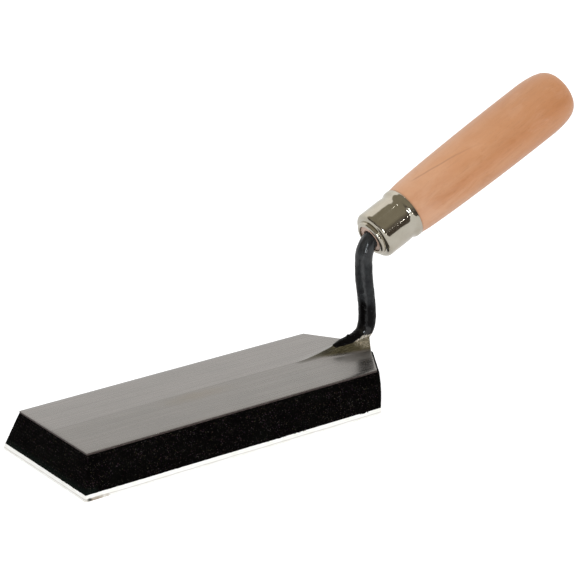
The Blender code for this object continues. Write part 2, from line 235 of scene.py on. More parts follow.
class Shader:
    """Small wrapper that adds and links the nodes of one material."""

    def __init__(self, name, preview=(0.5, 0.5, 0.5), along_handle=False):
        self.material = bpy.data.materials.new(name)
        self.material.use_nodes = True
        self.material.diffuse_color = (*preview, 1)
        self.tree = self.material.node_tree
        self.bsdf = self.tree.nodes["Principled BSDF"]
        self.space = self.tree.nodes.new("ShaderNodeTexCoord").outputs["Object"]
        if along_handle:
            start = place(MOUTH_STATION, 0, MOUTH_HEIGHT)
            turn = (0, math.radians(90) - HANDLE_RISE, 0)
            inputs = {"Vector": self.space, "Location": start, "Rotation": turn}
            self.space = self.node("Mapping", inputs, vector_type="TEXTURE").outputs["Vector"]

    def node(self, kind, inputs=None, **settings):
        made = self.tree.nodes.new("ShaderNode" + kind)
        for key, value in settings.items():
            setattr(made, key, value)
        for key, value in (inputs or {}).items():
            self.feed(made.inputs[key], value)
        return made

    def feed(self, socket, value):
        if isinstance(value, bpy.types.NodeSocket):
            self.tree.links.new(value, socket)
        elif isinstance(value, tuple) and len(value) == 3 and socket.type == "RGBA":
            socket.default_value = (*value, 1)
        else:
            socket.default_value = value

    def mapped(self, scale):
        """Object coordinates scaled by so much per millimetre."""
        inputs = {"Vector": self.space, "Scale": tuple(s / MM for s in scale)}
        return self.node("Mapping", inputs).outputs["Vector"]

    def noise(self, scale, detail=4.0, rough=0.55, distortion=0.0):
        inputs = {
            "Vector": self.mapped(scale), "Scale": 1.0, "Detail": detail,
            "Roughness": rough, "Distortion": distortion,
        }
        return self.node("TexNoise", inputs).outputs["Fac"]

    def cells(self, scale, feature="F1", out="Distance"):
        inputs = {"Vector": self.mapped(scale), "Scale": 1.0, "Randomness": 1.0}
        return self.node("TexVoronoi", inputs, feature=feature).outputs[out]

    def ramp(self, value, low, high, to_low=0.0, to_high=1.0, smooth=True):
        inputs = {"Value": value, "From Min": low, "From Max": high, "To Min": to_low, "To Max": to_high}
        kind = "SMOOTHSTEP" if smooth else "LINEAR"
        return self.node("MapRange", inputs, interpolation_type=kind).outputs["Result"]

    def math(self, operation, first, second=0.0):
        return self.node("Math", {0: first, 1: second}, operation=operation).outputs[0]

    def plus(self, first, second):
        return self.math("ADD", first, second)

    def minus(self, first, second):
        return self.math("SUBTRACT", first, second)

    def times(self, first, second):
        return self.math("MULTIPLY", first, second)

    def sway(self, reach, *noise):
        """Noise that swings about 0."""
        return self.times(self.minus(self.noise(*noise), 0.5), reach)

    def mix(self, factor, first, second, blend="MIX"):
        made = self.node("Mix", data_type="RGBA", blend_type=blend)
        self.feed(made.inputs[0], factor)
        self.feed(made.inputs[6], first)
        self.feed(made.inputs[7], second)
        return made.outputs[2]

    def colours(self, value, stops):
        made = self.node("ValToRGB", {"Fac": value})
        elements = made.color_ramp.elements
        while len(elements) < len(stops):
            elements.new(0.5)
        for element, (position, colour) in zip(elements, stops):
            element.position = position
            element.color = (*colour, 1)
        return made.outputs["Color"]

    def millimetres(self, letter, origin=0.0):
        """Object coordinate along one axis from an origin in metres, in millimetres."""
        value = self.axis(letter)
        return self.math("DIVIDE", self.minus(value, origin) if origin else value, MM)

    def axis(self, letter, vector=None):
        return self.node("SeparateXYZ", {"Vector": vector or self.space}).outputs[letter]

    def spot(self, centre, radii, soft=0.6, jitter=0.0, jitter_scale=0.6):
        """1 inside an ellipsoid round a world point, fading to 0 at its edge. Radii are in mm."""
        scale = tuple(1 / (r * MM) for r in radii)
        shift = tuple(-c * s for c, s in zip(centre, scale))
        inputs = {"Vector": self.space, "Scale": scale, "Location": shift}
        vector = self.node("Mapping", inputs).outputs["Vector"]
        length = self.node("VectorMath", {0: vector}, operation="LENGTH").outputs["Value"]
        if jitter:
            length = self.plus(length, self.sway(jitter, (jitter_scale,) * 3, 3))
        return self.ramp(length, soft, 1.0, 1.0, 0.0)

    def bump(self, height, distance, strength=1.0, under=None):
        inputs = {"Height": height, "Distance": distance * MM, "Strength": strength}
        if under is not None:
            inputs["Normal"] = under
        return self.node("Bump", inputs).outputs["Normal"]

    def surface(self, **values):
        for key, value in values.items():
            self.feed(self.bsdf.inputs[key.replace("_", " ")], value)
        return self.material


# ---------------- materials


def steel_material():
    s = Shader("ground_steel", (0.42, 0.40, 0.38))
    fine = s.noise((0.05, 5.0, 5.0), 5, 0.65)
    broad = s.noise((0.012, 0.9, 0.9), 4, 0.6)
    blotch = s.noise((0.05, 0.08, 0.08), 3, 0.5)
    tone = s.plus(s.times(fine, 0.35), s.times(broad, 0.65))
    base = s.colours(tone, [
        (0.25, (0.200, 0.187, 0.177)), (0.5, (0.244, 0.229, 0.218)), (0.75, (0.292, 0.275, 0.262)),
    ])
    base = s.mix(s.ramp(blotch, 0.35, 0.68, 0.0, 0.35), base, (0.205, 0.198, 0.188))
    across = s.millimetres("Y")
    wander = s.sway(1.2, (0.04, 0.0, 0.0), 3)
    across = s.plus(across, wander)
    # Painted shade: the near half of the plate's top is painted darker than the far half.
    near_half_shade = s.ramp(across, -1.5, 0.6, 1.0, 0.0)
    base = s.mix(near_half_shade, base, s.mix(1.0, base, (0.86, 0.865, 0.855), "MULTIPLY"))
    # Painted shade: a darker line along the plate's centre crease.
    crease_shade = s.ramp(s.math("ABSOLUTE", across), 0.1, 0.9, 1.0, 0.0)
    base = s.mix(s.times(crease_shade, 0.30), base, (0.12, 0.11, 0.10))
    stain = s.spot(place(62, -4, 0), (22, 6, 6), 0.1, 0.8, 0.12)
    base = s.mix(s.times(stain, 0.30), base, (0.205, 0.160, 0.105))
    # Painted shade: a thin dark line along the far edge of the top.
    far_edge_shade = s.ramp(across, HALF_WIDTH - 0.45, HALF_WIDTH - 0.15)
    base = s.mix(s.times(far_edge_shade, 0.7), base, (0.05, 0.045, 0.04))
    height = s.millimetres("Z", EDGE_TOP)
    tint = s.ramp(height, 0.50, 1.2)
    grain = s.noise((0.25, 1.6, 1.6), 4, 0.6)
    heat = s.colours(grain, [
        (0.3, (0.075, 0.066, 0.034)), (0.5, (0.135, 0.120, 0.068)), (0.72, (0.24, 0.22, 0.155)),
    ])
    base = s.mix(s.times(tint, 0.88), base, heat)
    # Braze metal has run down the ridge's flanks under the heel.
    along = s.millimetres("X", FRONT_X)
    spread = s.sway(5.0, (0.5, 0.5, 0.5), 4, 0.6)
    run = s.ramp(s.plus(s.plus(along, height), spread), 142.0, 145.5)
    run = s.times(run, s.ramp(height, 0.9, 1.7))
    base = s.mix(s.times(run, 0.85), base, braze_colour(s))
    side = s.millimetres("Y")
    # Painted shade: a dark strip along the ridge's crest, on its near side.
    crest_shade = s.times(s.ramp(side, -2.6, -1.0), s.ramp(side, -0.1, 0.3, 1.0, 0.0))
    crest_shade = s.times(crest_shade, s.times(s.ramp(along, 111, 116), s.ramp(along, 128, 134, 1.0, 0.0)))
    base = s.mix(s.times(crest_shade, 0.75), base, (0.085, 0.080, 0.068))
    # The plate's edge wall is darker and mottled.
    wall = s.ramp(height, -0.32, -0.10, 1.0, 0.0)
    edge_wall_mottle = s.noise((0.6, 0.6, 3.0), 4, 0.6)
    edge_wall_colours = s.colours(edge_wall_mottle, [
        (0.3, (0.040, 0.028, 0.026)), (0.55, (0.090, 0.070, 0.065)), (0.75, (0.17, 0.15, 0.14)),
    ])
    base = s.mix(wall, base, edge_wall_colours)
    rough = s.ramp(tone, 0.3, 0.7, 0.22, 0.32, False)
    rough = s.plus(rough, s.times(wall, 0.25))
    dull = s.spot(place(137.0, -9.5, 0.3), (9, 6, 3), 0.4, 0.5, 0.3)
    rough = s.plus(rough, s.times(dull, 0.22))
    relief = s.plus(s.times(fine, 0.5), s.noise((0.10, 2.4, 2.4), 3, 0.6))
    normal = s.bump(relief, 0.010, 0.8)
    normal = s.bump(s.noise((0.03, 0.05, 0.05), 2), 0.10, 0.5, normal)
    return s.surface(Base_Color=base, Metallic=0.9, Roughness=rough, Normal=normal)


def braze_colour(s):
    lumps = s.noise((1.1, 1.1, 1.1), 4, 0.65, 0.4)
    return s.colours(lumps, [
        (0.26, (0.10, 0.075, 0.045)), (0.40, (0.30, 0.275, 0.210)), (0.52, (0.46, 0.43, 0.36)),
        (0.61, (0.85, 0.80, 0.70)), (0.70, (0.62, 0.33, 0.18)),
    ])


def braze_material():
    s = Shader("braze_metal", (0.62, 0.42, 0.20))
    rough = s.ramp(s.noise((1.4, 1.4, 1.4), 3), 0.3, 0.7, 0.18, 0.45, False)
    normal = s.bump(s.noise((1.1, 1.1, 1.1), 3, 0.6), 0.25, 1.0)
    return s.surface(Base_Color=braze_colour(s), Metallic=1.0, Roughness=rough, Normal=normal)


def paint_material():
    s = Shader("black_paint", (0.012, 0.012, 0.014))
    wave = s.noise((0.55, 0.55, 0.35), 4, 0.6)
    speck = s.ramp(s.cells((1.6, 1.6, 1.2)), 0.10, 0.22, 1.0, 0.0)
    speck = s.times(speck, s.ramp(s.noise((0.35, 0.35, 0.2), 3), 0.52, 0.66))
    along = s.millimetres("X", FRONT_X)
    height = s.millimetres("Z", EDGE_TOP)
    dark = s.colours(wave, [(0.3, (0.0010, 0.0008, 0.0010)), (0.75, (0.0030, 0.0024, 0.0026))])
    painted_sheen = s.colours(wave, [
        (0.3, (0.012, 0.012, 0.014)), (0.5, (0.022, 0.023, 0.024)), (0.75, (0.034, 0.038, 0.040)),
    ])
    # The upper part is painted lighter, a painted sheen, and a streak where the paint has run keeps its
    # gloss.
    sheen_wobble = s.sway(8.0, (0.35, 0.35, 0.16), 4, 0.6)
    level = s.plus(height, sheen_wobble)
    paint = s.mix(s.ramp(level, 17.0, 21.0), dark, painted_sheen)
    centre = s.ramp(height, 14.6, 29.5, 148.9, 147.35, False)
    across = s.times(s.minus(along, centre), STREAK_SIDE[0])
    across = s.minus(across, s.times(s.axis("Y"), STREAK_SIDE[1] / MM))
    drift = s.sway(1.6, (0.12, 0.12, 0.10), 3)
    beside = s.math("ABSOLUTE", s.plus(s.plus(across, drift), 0.45))
    streak = s.ramp(beside, 0.35, 1.25, 1.0, 0.0)
    streak = s.times(streak, s.ramp(s.noise((1.3, 1.3, 0.5), 4, 0.6), 0.36, 0.52, 0.45, 1.0))
    paint = s.mix(s.times(speck, 0.30), paint, (0.20, 0.22, 0.24))
    # The paint ends low on the heel, where the joint's bare metal shows.
    limit = s.ramp(along, 138.6, 144.4, 2.6, 5.5, False)
    ragged = s.sway(2.2, (0.9, 0.9, 0.9), 4, 0.65)
    bare = s.minus(s.plus(limit, ragged), height)
    bare = s.times(s.ramp(bare, -0.1, 0.25), s.ramp(along, 137.6, 140.2))
    base = s.mix(bare, paint, braze_colour(s))
    gloss = s.times(streak, s.ramp(level, 12.0, 20.0, 0.55, 0.95))
    upper = s.ramp(height, 33.0, 38.0)
    heel = s.spot(place(146.0, -2.6, 7.2), (3.2, 3.2, 2.6), 0.5, 0.6, 0.9)
    gloss = s.math("MAXIMUM", s.math("MAXIMUM", gloss, s.times(upper, 0.6)), s.times(heel, 0.9))
    gloss = s.math("MAXIMUM", gloss, 0.07)
    rough = s.ramp(wave, 0.35, 0.65, 0.25, 0.40, False)
    rough = s.plus(rough, s.times(bare, 0.10))
    normal = s.bump(s.noise((0.7, 0.7, 0.45), 3, 0.55), 0.09, 0.9)
    normal = s.bump(s.noise((3.0, 3.0, 2.0), 3, 0.6), 0.012, 0.8, normal)
    return s.surface(
        Base_Color=base, Metallic=bare, Roughness=rough, Normal=normal, Specular_IOR_Level=0.04,
        Coat_Weight=gloss, Coat_Roughness=0.10,
    )


def sponge_material():
    s = Shader("sponge_rubber", (0.016, 0.016, 0.016))
    pores = s.cells((2.1, 2.1, 2.1), "SMOOTH_F1")
    fine = s.noise((3.2, 3.2, 3.2), 4, 0.7)
    tone = s.noise((0.10, 0.10, 0.16), 4, 0.6)
    base = s.colours(tone, [
        (0.3, (0.0008, 0.0006, 0.0006)), (0.6, (0.0018, 0.0016, 0.0014)), (0.8, (0.0030, 0.0036, 0.0030)),
    ])
    height = s.millimetres("Z", EDGE_TOP)
    front = s.ramp(s.axis("X"), FRONT_X, FRONT_X + 0.002, 1.0, 0.0)
    green = s.times(s.ramp(height, -14.0, -11.0, 1.0, 0.0), front)
    base = s.mix(s.times(green, 0.7), base, (0.0040, 0.0080, 0.0060))
    hue = s.cells((2.6, 2.6, 2.6), "F1", "Color")
    lit = s.ramp(s.axis("X", hue), 0.62, 0.95)
    core = s.ramp(s.cells((2.6, 2.6, 2.6)), 0.20, 0.50, 1.0, 0.0)
    glints = s.mix(0.10, (0.090, 0.086, 0.080), hue)
    thick = s.ramp(s.noise((0.35, 0.35, 0.35), 4, 0.6), 0.38, 0.62, 0.25, 1.0)
    lit = s.times(s.times(lit, core), thick)
    base = s.mix(s.times(lit, 0.38), base, glints)
    normal = s.bump(pores, 0.25, 0.8)
    normal = s.bump(fine, 0.06, 0.7, normal)
    return s.surface(Base_Color=base, Roughness=0.95, Specular_IOR_Level=0.02, Normal=normal)


def gum_material():
    s = Shader("gum_rubber", (0.80, 0.78, 0.70))
    height = s.millimetres("Z")
    mottle = s.noise((0.25, 0.25, 0.6), 4, 0.6)
    base = s.colours(mottle, [
        (0.3, (0.88, 0.87, 0.81)), (0.55, (0.94, 0.935, 0.90)), (0.8, (0.96, 0.96, 0.94)),
    ])
    wobble = s.sway(0.5, (0.07, 0.07, 0.07), 3)
    level = s.plus(height, wobble)
    # Painted shade: a grey-mauve line in the groove of the facing's seam step.
    seam = s.times(s.ramp(level, 0.58, 0.74), s.ramp(level, 0.80, 1.00, 1.0, 0.0))
    base = s.mix(s.times(seam, 0.55), base, (0.50, 0.44, 0.42))
    # Painted shadow: a brown patch and a dark spot at the near front corner of the facing.
    painted_corner_shadow = s.spot(place(0.0, -32, -16.1), (7.5, 6, 1.2), 0.1, 1.1, 0.5)
    base = s.mix(s.times(painted_corner_shadow, 0.85), base, (0.26, 0.19, 0.11))
    painted_corner_dark_shadow = s.spot(place(-2.9, -31.6, -15.9), (1.5, 3, 0.8), 0.2, 0.8, 0.9)
    base = s.mix(s.times(painted_corner_dark_shadow, 0.95), base, (0.030, 0.034, 0.024))
    # Painted shade: a dark mark inside the notch at that corner.
    notch_shade = s.spot(place(-5.2, -31.2, -14.6), (0.45, 0.6, 1.5), 0.3, 0.5, 0.9)
    base = s.mix(s.times(notch_shade, 0.85), base, (0.035, 0.032, 0.030))
    grime = s.ramp(s.noise((0.5, 0.5, 1.0), 4, 0.7), 0.62, 0.74, 0.0, 0.25)
    base = s.mix(grime, base, (0.55, 0.50, 0.40))
    normal = s.bump(s.noise((1.6, 1.6, 1.6), 4, 0.6), 0.04, 0.6)
    return s.surface(Base_Color=base, Roughness=0.62, Specular_IOR_Level=0.35, Normal=normal)


def cement_material():
    s = Shader("contact_cement", (0.62, 0.47, 0.24))
    tone = s.noise((0.35, 0.35, 0.35), 4)
    base = s.colours(tone, [(0.35, (0.09, 0.06, 0.03)), (0.65, (0.20, 0.14, 0.07))])
    normal = s.bump(s.noise((1.2, 1.2, 1.2), 3), 0.08, 0.8)
    return s.surface(Base_Color=base, Roughness=0.5, Normal=normal)


def nickel_material():
    s = Shader("nickel_plate", (0.66, 0.63, 0.56), along_handle=True)
    cloud = s.noise((0.18, 0.18, 0.12), 4, 0.6)
    base = s.colours(cloud, [(0.3, (0.43, 0.395, 0.325)), (0.7, (0.50, 0.47, 0.40))])
    rough = s.ramp(s.noise((0.8, 0.8, 0.5), 4, 0.6), 0.3, 0.75, 0.05, 0.15, False)
    scratch = s.noise((0.25, 0.25, 4.5), 3, 0.6)
    normal = s.bump(s.noise((0.20, 0.20, 0.10), 2, 0.5), 0.09, 0.55)
    normal = s.bump(scratch, 0.004, 0.6, normal)
    return s.surface(Base_Color=base, Metallic=1.0, Roughness=rough, Normal=normal)


def beech_material():
    s = Shader("varnished_beech", (0.60, 0.32, 0.17), along_handle=True)
    figure = s.noise((0.16, 0.10, 0.012), 4, 0.55, 0.3)
    pore = s.noise((2.4, 2.4, 0.16), 4, 0.6)
    patch = s.noise((0.05, 0.05, 0.030), 3, 0.5)
    base = s.colours(figure, [
        (0.28, (0.490, 0.210, 0.098)), (0.45, (0.550, 0.250, 0.122)),
        (0.58, (0.580, 0.282, 0.148)), (0.75, (0.615, 0.335, 0.200)),
    ])
    base = s.mix(s.ramp(patch, 0.35, 0.70, 0.0, 0.35), base, (0.53, 0.235, 0.100))
    along = s.millimetres("Z")
    base = s.mix(s.ramp(along, 20, 108, 0.0, 0.60), base, (0.485, 0.195, 0.068))
    cloud = s.noise((0.14, 0.14, 0.07), 4, 0.65, 0.6)
    base = s.mix(s.ramp(cloud, 0.50, 0.72, 0.0, 0.50), base, (0.60, 0.31, 0.185))
    base = s.mix(s.ramp(cloud, 0.48, 0.28, 0.0, 0.45), base, (0.46, 0.175, 0.055))
    fibre = s.noise((0.9, 0.9, 0.10), 4, 0.6)
    base = s.mix(s.ramp(fibre, 0.50, 0.72, 0.0, 0.26), base, (0.40, 0.175, 0.080))
    base = s.mix(s.ramp(pore, 0.50, 0.80, 0.0, 0.30), base, (0.33, 0.140, 0.06))
    fleck = s.cells((1.1, 1.1, 0.28))
    base = s.mix(s.ramp(fleck, 0.10, 0.24, 0.22, 0.0), base, (0.31, 0.13, 0.06))
    pale = s.times(s.ramp(along, 22, 44, 1.0, 0.0), s.ramp(cloud, 0.30, 0.60, 0.25, 0.75))
    base = s.mix(s.times(pale, 0.60), base, (0.66, 0.40, 0.285))
    base = s.mix(1.0, base, (0.94, 0.915, 0.83), "MULTIPLY")
    # The upper side is painted paler, a painted sheen, most of all near the ferrule.
    upper_sheen = s.times(s.ramp(s.axis("X"), -0.003, -0.011), s.ramp(along, 40, 95, 0.30, 0.14))
    base = s.mix(upper_sheen, base, (0.82, 0.45, 0.25))
    # Painted light: the wood inside the ferrule's mouth is painted pale.
    base = s.mix(s.ramp(along, 0.0, 3.0, 0.85, 0.0), base, (0.90, 0.68, 0.56))
    # One dark line of grain runs slanting down the near upper side.
    sway = s.sway(1.2, (0.02, 0.02, 0.06), 3)
    beside = s.plus(s.millimetres("Y"), sway)
    beside = s.plus(beside, s.times(s.minus(along, GRAIN_START), GRAIN_SLANT))
    line = s.ramp(s.math("ABSOLUTE", s.plus(beside, GRAIN_LINE)), 0.05, 0.50, 1.0, 0.0)
    upper = s.ramp(s.axis("X"), -0.002, 0.0, 1.0, 0.0)
    reach = s.times(s.ramp(along, 24, 28), s.ramp(along, 40, 62, 1.0, 0.0))
    line = s.times(s.times(line, upper), reach)
    base = s.mix(s.times(line, 0.34), base, (0.24, 0.10, 0.05))
    # The wood is darker in a thin band where it meets the ferrule.
    seam = s.ramp(along, FERRULE_LENGTH + 0.1, FERRULE_LENGTH + 0.9, 0.45, 0.0)
    base = s.mix(seam, base, (0.22, 0.10, 0.05))
    rough = s.ramp(pore, 0.3, 0.75, 0.38, 0.52, False)
    normal = s.bump(pore, 0.020, 0.7)
    normal = s.bump(s.noise((0.12, 0.12, 0.35), 2), 0.05, 0.4, normal)
    return s.surface(
        Base_Color=base, Roughness=rough, Normal=normal, Specular_IOR_Level=0.35,
        Coat_Weight=0.34, Coat_Roughness=0.32,
    )


# ---------------- backing plate


def ridge_half_width(station):
    return RIDGE_END_HALF_WIDTH * (station - RIDGE_APEX) / (RIDGE_END - RIDGE_APEX)


def ridge_height(station):
    rise = (np.minimum(station, RIDGE_BEND) - RIDGE_APEX) / (RIDGE_BEND - RIDGE_APEX)
    slope = 2 * RIDGE_BEND_HEIGHT / (RIDGE_BEND - RIDGE_APEX)
    return RIDGE_BEND_HEIGHT * rise**2 + slope * np.maximum(station - RIDGE_BEND, 0)


def foot_at(station):
    """(height, radius) of the shank's centre line over the ridge."""
    stations, heights, radii = zip(*FOOT_POINTS[:6])
    return np.interp(station, stations, heights), np.interp(station, stations, radii)


def plate_surface(station, breadth):
    """Height of the plate's top above its edge."""
    roof = CROWN * (1 - abs(breadth) / HALF_WIDTH)
    if station <= RIDGE_APEX:
        return roof
    across = min(abs(breadth) / ridge_half_width(station), 1)
    height = ridge_height(station) * (1 - across) ** RIDGE_HOLLOW
    if station > FOOT_POINTS[0][0]:
        centre, radius = foot_at(station)
        inside = 1 - smooth_step(abs(breadth), radius - 0.6, radius + 0.05)
        height += (min(height, centre - 0.6) - height) * inside
    return roof + height


def plate_outline(inset):
    """Corners of the plate's outline, drawn in by a distance, from the near front corner on."""
    lean = math.hypot(1, SHOULDER_SLOPE)
    side = HALF_WIDTH - inset
    end = PLATE_END - inset
    shoulder = SHOULDER + (inset - inset * lean) / SHOULDER_SLOPE
    tip = side - (end - shoulder) * SHOULDER_SLOPE
    near = [(inset, -side), (shoulder, -side), (end, -tip)]
    return near + [(s, -b) for s, b in reversed(near)]


def outline_point(corners, edge, share):
    a, b = corners[edge], corners[(edge + 1) % len(corners)]
    return a[0] + (b[0] - a[0]) * share, a[1] + (b[1] - a[1]) * share


def plate_mesh():
    rim = 0.15
    top = plate_outline(rim)
    front, shoulder, end = top[0][0], top[1][0], top[2][0]
    side, tip = -top[0][1], -top[2][1]
    stations = list(np.linspace(front, RIDGE_APEX, 57)) + list(np.linspace(RIDGE_APEX, shoulder, 48))[1:]
    stations += list(np.linspace(shoulder, end, 40))[1:]
    flat_steps, ridge_steps = 10, 28
    narrowing = (side - tip) / (end - shoulder)
    rows = []
    for station in stations:
        limit = side - narrowing * max(station - shoulder, 0)
        foot = min(max(ridge_half_width(station), 0.35), limit - 0.02)
        flat = list(np.linspace(-limit, -foot, flat_steps, endpoint=False))
        breadths = flat + list(np.linspace(-foot, foot, ridge_steps + 1)) + [-b for b in reversed(flat)]
        rows.append([(station, b, plate_surface(station, b)) for b in breadths])
    columns = len(rows[0])
    points = [p for row in rows for p in row]
    faces = grid_faces(len(rows), columns)
    # The boundary of the top runs near side, rear end, far side, front edge.
    loop = [row * columns for row in range(len(rows))]
    loop += [(len(rows) - 1) * columns + column for column in range(1, columns)]
    loop += [row * columns + columns - 1 for row in range(len(rows) - 2, -1, -1)]
    loop += [column for column in range(columns - 2, 0, -1)]
    spans = []
    for index in loop:
        station, breadth, _ = points[index]
        best = None
        for edge in range(6):
            a, b = np.array(top[edge]), np.array(top[(edge + 1) % 6])
            share = np.dot(np.array((station, breadth)) - a, b - a) / np.dot(b - a, b - a)
            share = float(np.clip(share, 0, 1))
            gap = np.linalg.norm(a + (b - a) * share - (station, breadth))
            if best is None or gap < best[0] - 1e-9:
                best = (gap, edge, share)
        spans.append(best[1:])
    previous = loop
    underside = -EDGE_THICKNESS
    rims = [(0.045, "top", -0.03), (0.0, "top", -0.13), (0.0, "low", 0.10), (0.08, "low", 0.0)]
    for inset, kind, change in rims:
        corners = plate_outline(inset)
        ring = []
        for index, (edge, share) in zip(loop, spans):
            station, breadth = outline_point(corners, edge, share)
            height = points[index][2] + change if kind == "top" else underside + change
            ring.append(len(points))
            points.append((station, breadth, height))
        for i in range(len(ring)):
            j = (i + 1) % len(ring)
            faces.append((previous[i], ring[i], ring[j], previous[j]))
        previous = ring
    faces.append(tuple(reversed(previous)))
    return mesh_object("steel_plate", [place(*p) for p in points], faces, 28)


# ---------------- rubber layers


def pad_corners(height):
    """Corners of the rubber's outline at a height below the plate's edge."""
    front = FRONT_FLARE * height
    side = HALF_WIDTH - SIDE_FLARE * height
    lost = 1 / SHOULDER_SLOPE
    shoulder = SHOULDER + REAR_OVERHANG * math.hypot(1, lost) + (HALF_WIDTH - side) * lost
    tip = side - (PAD_END - shoulder) * SHOULDER_SLOPE
    near = [(front, -side), (shoulder, -side), (PAD_END, -tip)]
    return near + [(s, -b) for s, b in reversed(near)]


def outline_loop(corners, counts):
    points = []
    for edge, count in enumerate(counts):
        points += [outline_point(corners, edge, i / count) for i in range(count)]
    return np.array(points)


def soften(loop, passes):
    for _ in range(passes):
        loop = loop * 0.5 + (np.roll(loop, 1, 0) + np.roll(loop, -1, 0)) * 0.25
    return loop


def loop_normals(loop):
    step = np.roll(loop, -1, 0) - np.roll(loop, 1, 0)
    out = np.stack([step[:, 1], -step[:, 0]], 1)
    return out / np.linalg.norm(out, axis=1)[:, None]


def rubber_block(name, heights, spacing, offset, edge_shift=None, corner_passes=2):
    """Wall of a rubber layer between its lowest and highest height, closed top and bottom."""
    middle = pad_corners(heights[len(heights) // 2])
    counts = []
    for edge in range(6):
        a, b = np.array(middle[edge]), np.array(middle[(edge + 1) % 6])
        counts.append(max(4, int(np.linalg.norm(b - a) / spacing)))
    points = []
    rows = len(heights)
    for row, height in enumerate(heights):
        loop = soften(outline_loop(pad_corners(height), counts), corner_passes)
        out = loop_normals(loop)
        for (station, breadth), (nx, ny) in zip(loop, out):
            level = height + (edge_shift(row, station, breadth) if edge_shift else 0)
            push = offset(row, rows, station, breadth, level)
            points.append((station + nx * push, breadth + ny * push, level))
    columns = sum(counts)
    faces = grid_faces(rows, columns, wrap_columns=True)
    inner = 1.2
    for row, flip in ((0, True), (rows - 1, False)):
        loop = np.array([p[:2] for p in points[row * columns:(row + 1) * columns]])
        drawn = loop - loop_normals(soften(loop, 12)) * inner
        level = heights[row]
        start = len(points)
        points += [(x, y, level) for x, y in drawn]
        for i in range(columns):
            j = (i + 1) % columns
            quad = (row * columns + i, row * columns + j, start + j, start + i)
            faces.append(quad[::-1] if flip else quad)
        ring = list(range(start, start + columns))
        faces.append(tuple(ring[::-1] if flip else ring))
    return mesh_object(name, [place(*p) for p in points], faces, 50)


def pore_field(station, breadth, level):
    spot = Vector((station, breadth, level))
    cell = noise.voronoi(spot * 1.15)[0][0]
    fine = noise.noise(spot * 2.3)
    slow = noise.noise(spot * 0.09)
    return slow, fine, cell


def foam_mesh():
    low = (PAD_LOW.z - EDGE_TOP) / MM - 0.05
    high = (PAD_HIGH.z - EDGE_TOP) / MM + 0.30

    def offset(row, rows, station, breadth, level):
        slow, fine, cell = pore_field(station, breadth, level)
        bulge = 0.0
        if station > SHOULDER - 3:
            bulge = 0.35 * math.sin(math.pi * row / (rows - 1))
        return min(0.10 * slow + 0.07 * fine - 0.10 * max(0, 0.45 - cell) / 0.45 + bulge - 0.12, 0.28)

    def edge_shift(row, station, breadth):
        if row > 2:
            return 0.0
        spot = Vector((station, breadth, 3.7))
        ragged = noise.noise(spot * 0.8) + 0.6 * noise.noise(spot * 2.1)
        sag = 0.0
        if breadth < 0:
            sag = 0.28 * float(smooth_step(station, 70, 110))
        return (0.16 * ragged - sag) * (1 - row / 3)

    heights = list(np.linspace(low, high, 34))
    return rubber_block("sponge_pad", heights, 0.42, offset, edge_shift)


def facing_mesh():
    low = (FACING_LOW.z - EDGE_TOP) / MM
    high = (FACING_HIGH.z - EDGE_TOP) / MM + 0.33
    levels = [0.0, 0.10, 0.35, 0.66, 0.78, 0.90, 1.02, 1.4, 1.8, 2.1, high - low]

    def offset(row, rows, station, breadth, level):
        spot = Vector((station, breadth, 11.0))
        wave = 0.14 * noise.noise(spot * 0.06) + 0.05 * noise.noise(spot * 0.5)
        step = {0: -0.10, 3: -0.02, 4: -0.16, 5: -0.16, 6: -0.02}.get(row, 0.0)
        corner = math.hypot(station + 4.9, breadth + 31.0)
        notch = -0.9 * max(0, 1 - corner / 1.3) * (row / (rows - 1)) ** 1.5
        return min(wave - 0.14, 0.0) + step + notch

    heights = [low + level for level in levels]
    return rubber_block("rubber_face_sheet", heights, 0.8, offset, corner_passes=1)


def cement_mesh(name, low, high, margin):
    """Film of cement whose edge wanders a little inside the pieces that it joins."""
    corners = plate_outline(margin)
    corners = [(min(s, PAD_END - margin), b) for s, b in corners]
    counts = [120, 24, 6, 24, 120, 40]
    loop = soften(outline_loop(corners, counts), 3)
    out = loop_normals(loop)
    points = []
    for level in (low, (low + high) / 2, high):
        for (station, breadth), (nx, ny) in zip(loop, out):
            push = 0.35 * noise.noise(Vector((station, breadth, level)) * 0.35)
            points.append((station + nx * push, breadth + ny * push, level))
    columns = len(loop)
    faces = grid_faces(3, columns, wrap_columns=True)
    faces.append(tuple(reversed(range(columns))))
    faces.append(tuple(range(2 * columns, 3 * columns)))
    return mesh_object(name, [place(*p) for p in points], faces, 50)


# ---------------- shank and braze


